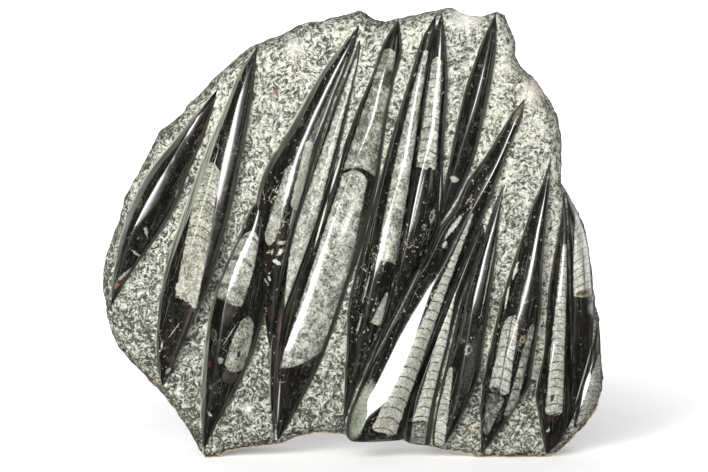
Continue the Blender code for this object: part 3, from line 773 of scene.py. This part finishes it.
def spindleHeight(facts, rows, over, slope):
    # How high the surface stands over the ground, with the flank a straight ramp on either side.
    width, knee, shoulder, crest = (rows[part] for part in ("width", "knee", "shoulder", "crest"))
    entry, exit = facet["entry"], facet["exit"]
    needed = width * slope * (exit * (crest - shoulder) / 2.0 + shoulder - knee + facet["foot"] * knee)
    top = np.maximum(changing(facts["plump"], rows["share"]) * width, needed / (1.0 - facet["flankTop"]))
    low = facet["flankTop"] * top
    after = slope * (exit + (facet["creased"] - exit) * rows["crease"])
    shoulderTop = top - after * (crest - shoulder) * width / 2.0
    kneeTop = shoulderTop - slope * (shoulder - knee) * width
    evenly = (kneeTop - low) / (knee * width)
    before = entry * slope + (evenly - entry * slope) * rows["crease"]

    def domeHeight(at):
        first = 2.0 * (kneeTop - low) / (knee * width) - before
        rise = low + first * at * width + (before - first) * at ** 2 * width / (2.0 * knee)
        flat = kneeTop + slope * (at - knee) * width
        sheen = top - after * width * (crest - at) ** 2 / (2.0 * (crest - shoulder))
        fall = top - (top - low) * np.abs((at - crest) / (1.0 - crest)) ** facet["roundness"]
        return np.where(at < knee, rise, np.where(at < shoulder, flat, np.where(at < crest, sheen, fall)))

    leftFlank, rightFlank = rows["leftFlank"], rows["rightFlank"]
    height = np.where(over < leftFlank, domeHeight(leftFlank) * over / leftFlank, domeHeight(over))
    return np.where(over > 1.0 - rightFlank, domeHeight(1.0 - rightFlank) * (1.0 - over) / rightFlank, height)


def facetSlope(facts):
    # The slope along each row that turns the facet to the left as far as it should be turned there,
    # whatever way the rows run and however fast the spindle swells.
    rows = spindleRows(facts, np.linspace(0.005, 0.995, 100))
    middle = (rows["knee"] + rows["shoulder"]) / 2.0
    spot = rows["left"] + rows["reach"] * middle[:, None]
    wanted = facet["turn"] + facet["turnPerMetre"] * (spot[:, 0] + sheetX) * mm
    down = np.gradient(spot, axis=0)
    reach, small = rows["reach"], 0.01
    beside = spot + reach * small
    fallRow = groundDepth(*beside.T) - groundDepth(*spot.T)
    cross = (reach[:, 0] * down[:, 1] - reach[:, 1] * down[:, 0]) * small
    seen = rows["crease"] < 0.6
    slope = wanted.copy()
    for _ in range(facet["rounds"]):
        depth = groundDepth(*spot.T) - spindleHeight(facts, rows, middle, slope)
        rowRise = fallRow - slope * rows["width"] * small
        turn = -(rowRise * down[:, 1] - np.gradient(depth) * reach[:, 1] * small) / cross
        slope = np.clip(slope + facet["gain"] * (wanted - turn), facet["gentlest"], facet["steepest"])
        if seen.any():
            slope = np.interp(rows["share"], rows["share"][seen], slope[seen])
        slope = smoothed(slope, facet["slopeBlur"])
    return rows["share"], slope


def makeSpindle(name, facts):
    facts = {**plainSpindle, **facts}
    halfRound = 2 * spindleMesh["flankParts"] + spindleMesh["domeParts"]
    mesh = bmesh.new()
    bmesh.ops.create_uvsphere(mesh, u_segments=2 * halfRound, v_segments=spindleMesh["along"], radius=1.0)
    ball = np.array([vertex.co for vertex in mesh.verts])
    share = (1.0 - ball[:, 2]) / 2.0
    turn = np.arctan2(ball[:, 1], ball[:, 0])
    rows = spindleRows(facts, share)
    width, leftFlank, rightFlank = rows["width"], rows["leftFlank"], rows["rightFlank"]

    # In front the flanks get their own strips and the dome the rest, with the columns close together
    # where the facet begins and ends; behind it is a plain keel.
    front = turn > 1e-3
    place = np.where(front, 1.0 - np.abs(turn) / math.pi, (1.0 + np.cos(turn)) / 2.0)
    flankPart = spindleMesh["flankParts"] / halfRound
    dome = (place - flankPart) / (1.0 - 2.0 * flankPart)
    domeOver = np.zeros(len(dome))
    stops = [leftFlank, rows["knee"], rows["shoulder"], rows["crest"], 1.0 - rightFlank]
    shares = spindleMesh["stops"]
    for zone, (begin, end, near, far) in enumerate(zip(shares, shares[1:], stops, stops[1:])):
        between = (dome >= begin - 1e-9) & (dome <= end + 1e-9)
        part = np.clip((dome - begin) / (end - begin), 0.0, 1.0)
        part = [1.0 - (1.0 - part) ** 2, part * part * (3.0 - 2.0 * part), part ** 1.6, part][zone]
        domeOver = np.where(between, near + (far - near) * part, domeOver)
    farOver = np.where(place > 1.0 - flankPart, 1.0 - rightFlank * (1.0 - place) / flankPart, domeOver)
    over = np.where(place < flankPart, leftFlank * place / flankPart, farOver)
    over = np.where(front, over, place)
    spot = rows["left"] + rows["reach"] * over[:, None]
    height = spindleHeight(facts, rows, over, np.interp(share, *facetSlope(facts)))
    seed = float(len(name) * 7 + facts["top"][0])
    stretched = np.stack([spot[:, 0] / spindleMesh["waveAcross"], spot[:, 1] / spindleMesh["waveDown"],
                          np.full(len(spot), seed)], axis=1)
    height += facts["wave"] * noiseAt(stretched) * np.minimum(height / spindleMesh["waveFrom"], 1.0)
    height = np.where(front, height, -spindleMesh["edgeSink"] - spindleMesh["keelSink"] * np.abs(np.sin(turn)))
    tips = (share < 1e-6) | (share > 1.0 - 1e-6)
    height = np.where(tips, -spindleMesh["edgeSink"], height)
    spot[share > 1.0 - 1e-6] = facts["foot"]
    places = toFrame(*spot.T, groundDepth(*spot.T) - height)
    flank = np.where(front, np.maximum(1.0 - over / leftFlank, 1.0 - (1.0 - over) / rightFlank), 1.0)
    flank = np.clip(flank, 0.0, 1.0)
    # Painted light: only the left flanks, which face the lamps, are made paler.
    paintedFlankLight = changing(facts["paintedFlankLight"], share) * (over < 0.5)
    dull = rows["crease"] * np.exp(-((over - rows["knee"]) * width / facet["dulled"]) ** 2)
    for vertex, position in zip(mesh.verts, places):
        vertex.co = position
    flow = mesh.loops.layers.uv.new("flow")
    beside = (over - 0.5) * width / spindleMesh["flow"]
    down = share * math.dist(facts["top"], facts["foot"]) / spindleMesh["flow"]
    for face in mesh.faces:
        face.smooth = True
        for loop in face.loops:
            loop[flow].uv = (beside[loop.vert.index], down[loop.vert.index])
    bmesh.ops.recalc_face_normals(mesh, faces=mesh.faces[:])
    thing = finishPiece(name, mesh, [spindleMaterial(name, facts)])
    for kind, values in dict(flank=flank, paintedFlankLight=paintedFlankLight, dull=dull).items():
        thing.data.attributes.new(kind, "FLOAT", "POINT").data.foreach_set("value", values.astype(np.float32))


for name, facts in spindles.items():
    makeSpindle(name, facts)
print("spindles made")

# The ground between the spindles, pecked with a point: short strokes and pits a few millimetres long.
ground = dict(sheet=(510, 455), cell=5.0, cuts=3, relief=1.3, swell=1.0, rimRelief=1.3, sideRings=14,
              bendSize=6.0, strokeSize=5.2, pitSize=3.2, swellSize=26.0, rimSize=7.0,
              breaks=((11.0, 3.0, 1.5), (3.2, 9.0, 0.7)), tanRim=1.9, tanBelow=62.0, tanFrom=100.0)


def underSpindles(across, up):
    hidden = np.zeros(len(across), dtype=bool)
    for facts in spindles.values():
        left, right = (edgeChain(facts, side) for side in ("left", "right"))
        hidden |= insideLoop(np.concatenate([left, right[::-1]]), across, up)
    return hidden


def sheetSpots(vertices):
    spots = np.array([vertex.co for vertex in vertices])
    return spots[:, 0] / mm, spots[:, 2] / mm


def makeGround():
    cell = ground["cell"]
    columns, rows = (int(reach / cell) for reach in ground["sheet"])
    mesh = bmesh.new()
    bmesh.ops.create_grid(mesh, x_segments=columns, y_segments=rows, size=1.0)
    for vertex in mesh.verts:
        x, y, _ = vertex.co
        vertex.co = ((x + 1) * columns * cell / 2 * mm, 0.0, (y + 1) * rows * cell / 2 * mm)

    # Cells clear of the outline go, and the ones that show are divided.
    corners = np.array([[vertex.co for vertex in face.verts] for face in mesh.faces]) / mm
    flat = corners.reshape(-1, 3)
    inside = insideLoop(plate["outline"], flat[:, 0], flat[:, 2]).reshape(-1, 4).any(axis=1)
    near = (rimDistance(flat[:, 0], flat[:, 2]) < cell).reshape(-1, 4).any(axis=1)
    hidden = underSpindles(flat[:, 0], flat[:, 2]).reshape(-1, 4).all(axis=1)
    shown = (inside | near) & (near | ~hidden)
    edges = {edge for face, show in zip(mesh.faces, shown) if show for edge in face.edges}
    bmesh.ops.subdivide_edges(mesh, edges=list(edges), cuts=ground["cuts"], use_grid_fill=True)
    centres = np.array([face.calc_center_median() for face in mesh.faces]) / mm
    outer = ~insideLoop(plate["outline"], centres[:, 0], centres[:, 2])
    bmesh.ops.delete(mesh, geom=[face for face, out in zip(mesh.faces[:], outer) if out], context="FACES")
    border = [vertex for vertex in mesh.verts if vertex.is_boundary]
    _, snapped = nearestOutline(np.stack(sheetSpots(border), axis=1))
    for vertex, (across, up) in zip(border, snapped):
        vertex.co = (across * mm, 0.0, up * mm)
    return mesh


def pushOut(across, up, depth, strength):
    # Breaks the straight run of the rim and the sides in and out.
    spots = np.stack([across, up, depth], axis=1)
    away = np.stack([across, up], axis=1) - plate["centre"]
    away /= np.hypot(*away.T)[:, None]
    reach = sum(noiseAt(spots / size, seed) * far for size, seed, far in ground["breaks"])
    return away * (reach * strength)[:, None]


def makeBlock():
    mesh = makeGround()
    across, up = sheetSpots(mesh.verts)
    rim = rimDistance(across, up)
    depth = groundDepth(across, up)
    flat = np.stack([across, up, np.zeros(len(up))], axis=1)
    bent = noiseAt(flat / ground["bendSize"], 5.0)
    strokes = 1.0 - 2.6 * np.abs(noiseAt(flat / ground["strokeSize"] + bent[:, None] * 0.8, 1.0))
    pits = noiseAt(flat / ground["pitSize"], 2.0)
    broad = noiseAt(flat / ground["swellSize"], 4.0)

    # The ground is paler towards the upper right and darker along the rim.
    pecks = 0.22 * strokes + 0.25 * pits + 0.2 * broad - 0.3 * np.clip(1.0 - rim / 9.0, 0.0, 1.0)
    pecks = pecks + 0.35 + (0.25 * up + 0.22 * (across - plate["centre"][0])) / plate["height"]
    relief = ground["relief"] * (0.6 * strokes + 0.45 * pits) + ground["swell"] * broad
    rimNoise = noiseAt(flat / ground["rimSize"], 6.0)
    relief += ground["rimRelief"] * rimNoise * np.clip(1.0 - rim / 14.0, 0.0, 1.0)
    shift = pushOut(across, up, depth, np.clip(1.0 - rim / 8.0, 0.0, 1.0))
    tan = np.clip(ground["tanRim"] - rim, 0.0, 1.0) * (up < ground["tanBelow"]) * (across > ground["tanFrom"])
    places = toFrame(across + shift[:, 0], np.maximum(up + shift[:, 1], 0.0), depth - relief)
    cover = mesh.verts.layers.float.new("pecks")
    tanned = mesh.verts.layers.float.new("tan")
    home = mesh.verts.layers.float_vector.new("home")
    for vertex, position, *facts in zip(mesh.verts, places, pecks, tan, across, up, depth):
        vertex.co = position
        vertex[cover], vertex[tanned] = facts[:2]
        vertex[home] = facts[2:]
    for face in mesh.faces:
        face.smooth = True

    # The sides run back from the rim in rings. The last two make the chamfer of the sawn back.
    border = [edge for edge in mesh.edges if edge.is_boundary]
    rings = ground["sideRings"]
    for ring in range(1, rings + 2):
        made = bmesh.ops.extrude_edge_only(mesh, edges=border)["geom"]
        border = [part for part in made if isinstance(part, bmesh.types.BMEdge)]
        fresh = [part for part in made if isinstance(part, bmesh.types.BMVert)]
        for face in {face for edge in border for face in edge.link_faces}:
            face.material_index = 1
        start = np.array([vertex[home] for vertex in fresh])
        share = min(ring / rings, 1.0)
        back = backDepth(start[:, 1])
        deep = start[:, 2] + (back - plate["backChamfer"] - start[:, 2]) * share
        shift = pushOut(start[:, 0], start[:, 1], deep, np.full(len(deep), 1.0 if ring < rings else 0.3))
        spot = start[:, :2] + shift
        if ring > rings:
            deep = back
            inward = np.array(plate["centre"]) - spot
            spot += inward / np.hypot(*inward.T)[:, None] * plate["backChamfer"]
        for vertex, position in zip(fresh, toFrame(spot[:, 0], np.maximum(spot[:, 1], 0.0), deep)):
            vertex.co = position
            vertex[cover] = 0.5
            vertex[tanned] = vertex[tanned] * 0.8 if ring < 2 else 0.0
    for face in bmesh.ops.edgeloop_fill(mesh, edges=border)["faces"]:
        face.material_index = 2
    bmesh.ops.triangulate(mesh, faces=[face for face in mesh.faces if len(face.verts) > 4])
    bmesh.ops.recalc_face_normals(mesh, faces=mesh.faces[:])
    openEdges = sum(not edge.is_manifold for edge in mesh.edges)
    print("block faces", len(mesh.faces), "open edges", openEdges)
    finishPiece("peckedBlock", mesh, [peckedMaterial(), brokenMaterial(), sawnMaterial()])


# Stains and pale patches of the pecked ground.
stains = [
    fleck((203, 425), (190, 398), 34, tint=(0.6, 0.6, 0.53, 1), strength=0.45, soft=1.0, wobble=1.5),
    fleck((364, 462), (366, 422), 46, tint=(0.74, 0.73, 0.66, 1), strength=0.85, soft=1.0, wobble=1.5),
    fleck((437, 390), (425, 350), 30, tint=(0.62, 0.59, 0.5, 1), strength=0.7, soft=1.0, wobble=1.5),
    fleck((438, 382), (433, 368), 12, tint=ochreStone, strength=0.5, soft=0.9, wobble=1.2),
    fleck((58, 84), (50, 70), 10, tint=ochreStone, strength=0.5, soft=0.9, wobble=1.2),
    fleck((372, 38), (368, 24), 16, tint=ochreStone, strength=0.4, soft=0.9, wobble=1.2),
    fleck((150, 62), (146, 44), 14, tint=(0.66, 0.65, 0.6, 1), strength=0.5, soft=1.0, wobble=1.5),
    fleck((178, 372), (172, 358), 14, tint=(0.4, 0.26, 0.19, 1), strength=0.3, soft=1.0, wobble=1.5)]


def peckedMaterial():
    material, tree, inputs = newMaterial("peckedLimestone")
    where, pecks, tan = inPlace(tree), attribute(tree, "pecks"), attribute(tree, "tan")
    fine, broad = grain(where, 520.0, 3.0, 0.7), grain(where, 30.0, 4.0, 0.6)

    # The strokes of the point run the same way within a patch and another way in the next one.
    bend = addNode("ShaderNodeTexNoise", {"Vector": where, "Scale": 120.0}, "Color")
    bend = addNode("ShaderNodeVectorMath", {0: bend, "Scale": 0.008}, operation="SCALE")
    warped = addNode("ShaderNodeVectorMath", {0: where, 1: bend}, operation="ADD")
    patch = addNode("ShaderNodeTexVoronoi", {"Vector": warped, "Scale": 130.0}, "Color")
    angle = addNode("ShaderNodeSeparateColor", {0: patch}) * 3.1
    spun = addNode("ShaderNodeVectorRotate", {"Vector": warped, "Angle": angle, "Axis": (0, 1, 0)},
                   rotation_type="AXIS_ANGLE")
    marks = grain(turned(spun, scale=(1.0, 1.0, 0.28)), 400.0, 2.0, 0.6)
    rings = abs(grain(warped, 150.0, 2.0, 0.5) - 0.5)
    outline = ramp(rings, 0.01, 0.05, 1.0, 0.0) * ramp(fine, 0.35, 0.6)
    light = marks * 3.3 + pecks * 0.9 + fine * 1.3 + broad * 0.9 - outline * 0.5 - 2.7
    colour = mixColour(ramp(light, 0.0, 1.2), (0.026, 0.028, 0.018, 1), (0.5, 0.5, 0.425, 1))
    for stain in stains:
        colour = addFleck(where, colour, stain)
    finishSurface(inputs, mixColour(tan, colour, tanEdge), 0.75, marks * 1.4 + fine, 0.5, 0.0012)
    return material


def brokenMaterial():
    material, tree, inputs = newMaterial("brokenLimestone")
    where = inPlace(tree)
    fine, broad = grain(where, 420.0, 5.0, 0.7), grain(where, 30.0, 4.0, 0.6)
    light = fine + broad * 0.6 - 0.3
    colour = mixColour(ramp(light, 0.3, 0.75), (0.06, 0.06, 0.052, 1), (0.3, 0.29, 0.25, 1))
    finishSurface(inputs, mixColour(attribute(tree, "tan"), colour, tanEdge), 0.8, fine, 0.6, 0.0015)
    return material


def sawnMaterial():
    material, tree, inputs = newMaterial("sawnLimestone")
    where = inPlace(tree)
    cloud = grain(where, 14.0, 5.0, 0.6)
    saw = grain(turned(where, rotation=(0, 0.5, 0), scale=(1, 1, 0.02)), 300.0, 2.0, 0.5)
    veins = abs(grain(where, 3.5, 5.0, 0.5) - 0.5)
    broken = ramp(grain(turned(where, (2.0, 1.0, 4.0)), 12.0, 3.0, 0.6), 0.45, 0.6)
    colour = mixColour(ramp(cloud, 0.35, 0.7), (0.055, 0.055, 0.05, 1), (0.11, 0.108, 0.098, 1))
    colour = mixColour(saw * 0.35, colour, (0.2, 0.2, 0.18, 1))
    colour = mixColour(ramp(veins, 0.0, 0.006, 0.5, 0.0) * broken, colour, (0.5, 0.48, 0.42, 1))
    finishSurface(inputs, colour, 0.6, saw, 0.3, 0.0006)
    return material


makeBlock()
print("block made")


def makePlane(name, low, high, material):
    mesh = bmesh.new()
    bmesh.ops.create_grid(mesh, x_segments=1, y_segments=1, size=0.5)
    low, size = Vector(low), Vector(high) - Vector(low)
    for vertex in mesh.verts:
        x, y = vertex.co.x + 0.5, vertex.co.y + 0.5
        vertex.co = low + Vector((size.x * x, size.y * y, size.z * y))
    thing = finishMesh(name, mesh, [material])
    return thing


# A pale floor that glows, faintly near the stone and more brightly further away, and a white wall
# far behind it.
def makeStage():
    floorPaper, tree, floor = newMaterial("studioFloor")
    wallGlow, _, wall = newMaterial("studioWall")
    floor["Roughness"].default_value = 0.9
    floor["Specular IOR Level"].default_value = 0.0
    for inputs, white in ((floor, 0.9), (wall, 0.8)):
        inputs["Base Color"].default_value = (white, white, white, 1)
        inputs["Emission Color"].default_value = (1, 1, 1, 1)
    far = addNode("ShaderNodeVectorMath", {0: inPlace(tree)}, "Value", operation="LENGTH")
    feed(floor["Emission Strength"], ramp(far, 0.2, 0.8, 0.2, 0.8))
    wall["Emission Strength"].default_value = 1.0
    makePlane("studioFloor", (-6, -6, 0), (6, 4.6, 0), floorPaper).visible_glossy = False
    makePlane("studioWall", (-8, 4.6, -0.5), (8, 4.6, 7), wallGlow)
    world = bpy.data.worlds.new("studio")
    bpy.context.scene.world = world
    world.use_nodes = True
    world.node_tree.nodes["Background"].inputs["Color"].default_value = (1, 1, 1, 1)
    world.node_tree.nodes["Background"].inputs["Strength"].default_value = 0.12
    bpy.context.scene.view_settings.view_transform = "Standard"


def placeOnStage(name, kind, spot, facing):
    thing = bpy.data.objects.new(name, kind)
    thing.location = spot
    thing.rotation_mode = "QUATERNION"
    thing.rotation_quaternion = facing.to_track_quat("-Z", "Y")
    bpy.context.scene.collection.objects.link(thing)
    return thing


# A tall soft box at the left whose light falls away in steps to its right, a wide one at the right,
# and one above the front that lights the stone without showing in the polish.
softBoxes = dict(
    leftBox=dict(spot=(-1.2, -1.85, 0.85), size=(0.45, 1.6), power=60.0),
    leftGlow=dict(spot=(-0.91, -2.0, 0.85), size=(0.2, 1.6), power=9.0),
    leftFade=dict(spot=(-0.625, -2.11, 0.85), size=(0.41, 1.6), power=3.7),
    middleFade=dict(spot=(-0.25, -2.19, 0.85), size=(0.36, 1.6), power=1.0),
    rightBox=dict(spot=(1.6, -1.4, 0.9), size=(0.9, 1.4), power=10.0),
    frontBox=dict(spot=(0.0, -2.6, 2.2), size=(2.4, 1.0), power=26.0, shines=False))


def makeLights():
    for name, box in softBoxes.items():
        lamp = bpy.data.lights.new(name, "AREA")
        lamp.shape = "RECTANGLE"
        lamp.size, lamp.size_y = box["size"]
        lamp.energy = box["power"]
        spot = Vector(box["spot"])
        thing = placeOnStage(name, lamp, spot, Vector((0, 0, 0.22)) - spot)
        thing.visible_camera = False
        thing.visible_glossy = box.get("shines", True)


camera = dict(away=2.2, rise=8.0, lens=111.9, sensor=36.0, clip=(0.05, 30.0), aim=(-0.001, 0.0, 0.2235))


def makeCamera():
    view = bpy.data.cameras.new("view")
    view.lens, view.sensor_width = camera["lens"], camera["sensor"]
    view.clip_start, view.clip_end = camera["clip"]
    rise = math.radians(camera["rise"])
    back = Vector((0, -math.cos(rise), math.sin(rise)))
    spot = Vector(camera["aim"]) + back * camera["away"]
    bpy.context.scene.camera = placeOnStage("view", view, spot, -back)


makeStage()
makeLights()
makeCamera()
